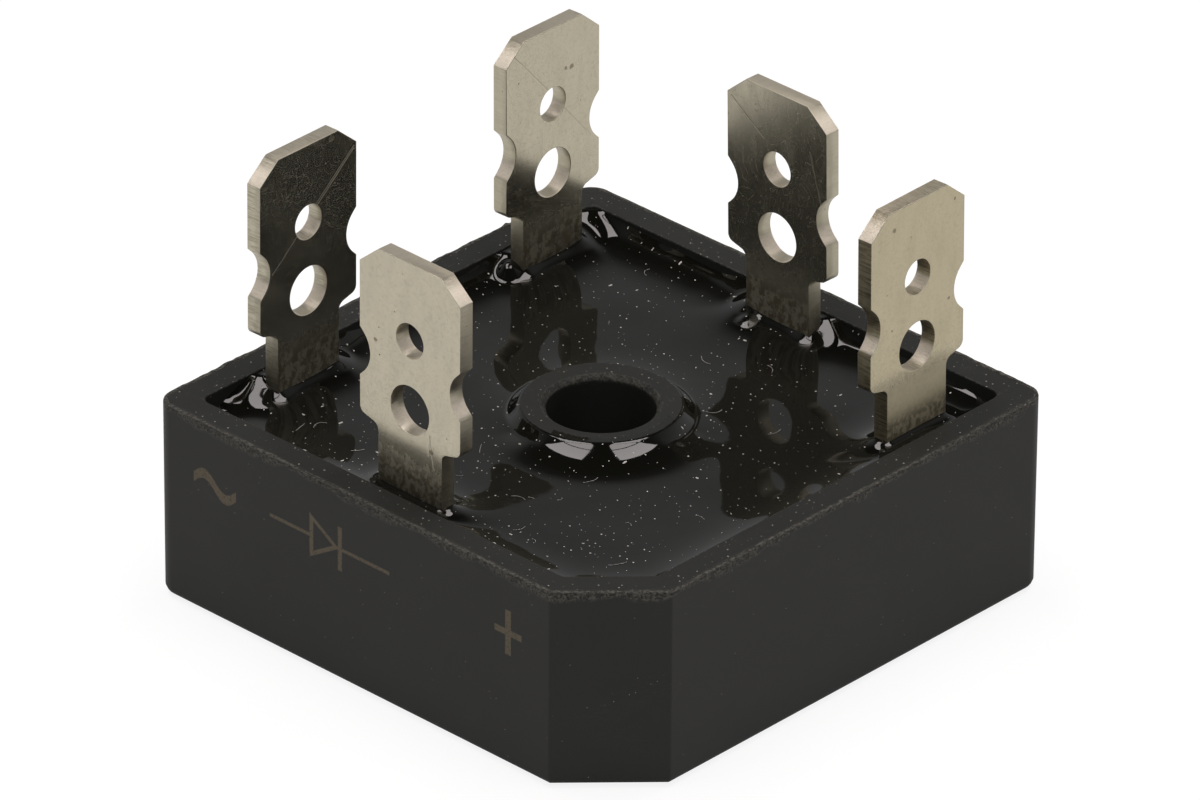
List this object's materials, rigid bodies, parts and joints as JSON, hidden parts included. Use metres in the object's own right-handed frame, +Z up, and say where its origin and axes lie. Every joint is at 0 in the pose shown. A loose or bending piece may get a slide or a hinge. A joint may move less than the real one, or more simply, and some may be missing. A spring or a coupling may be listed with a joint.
{
  "type": "bridge rectifier",
  "caption": "Square potted rectifier case with a cut corner, a central screw tube and upright push-on tabs with punched holes and side notches.",
  "frame": {"origin": "middle of the mounting surface, on the axis of the screw hole", "axes": "+Z up out of the potted side, along the screw hole; -Y is the marked side; the cut corner is where +X meets -Y"},
  "size_m": [0.0286, 0.0286, 0.0214],
  "materials": {
    "case": "matt charcoal moulding with fine flash along the rim",
    "potting": "glossy dark brown cast resin that has climbed the walls and necks",
    "terminals": "nickel-plated sheet with sheared edges",
    "base_plate": "plain rolled plate",
    "copper": "bare copper sheet",
    "chips": "polished silicon with a glass edge",
    "solder": "dull grey"
  },
  "bodies": {
    "root": {"case": "case", "base_plate": "base_plate", "potting": "potting", "positive_bus": "copper", "negative_bus": "copper", "positive_terminal": "terminals", "negative_terminal": "terminals", "positive_foot_solder": "solder", "negative_foot_solder": "solder", "ac_terminal_1": "terminals", "ac_terminal_2": "terminals", "ac_terminal_3": "terminals", "positive_chip_1": "chips", "positive_chip_1_lower_solder": "solder", "positive_chip_1_upper_solder": "solder", "positive_chip_2": "chips", "positive_chip_2_lower_solder": "solder", "positive_chip_2_upper_solder": "solder", "positive_chip_3": "chips", "positive_chip_3_lower_solder": "solder", "positive_chip_3_upper_solder": "solder", "negative_chip_1": "chips", "negative_chip_1_lower_solder": "solder", "negative_chip_1_upper_solder": "solder", "negative_chip_2": "chips", "negative_chip_2_lower_solder": "solder", "negative_chip_2_upper_solder": "solder", "negative_chip_3": "chips", "negative_chip_3_lower_solder": "solder", "negative_chip_3_upper_solder": "solder"}
  },
  "joints": []
}
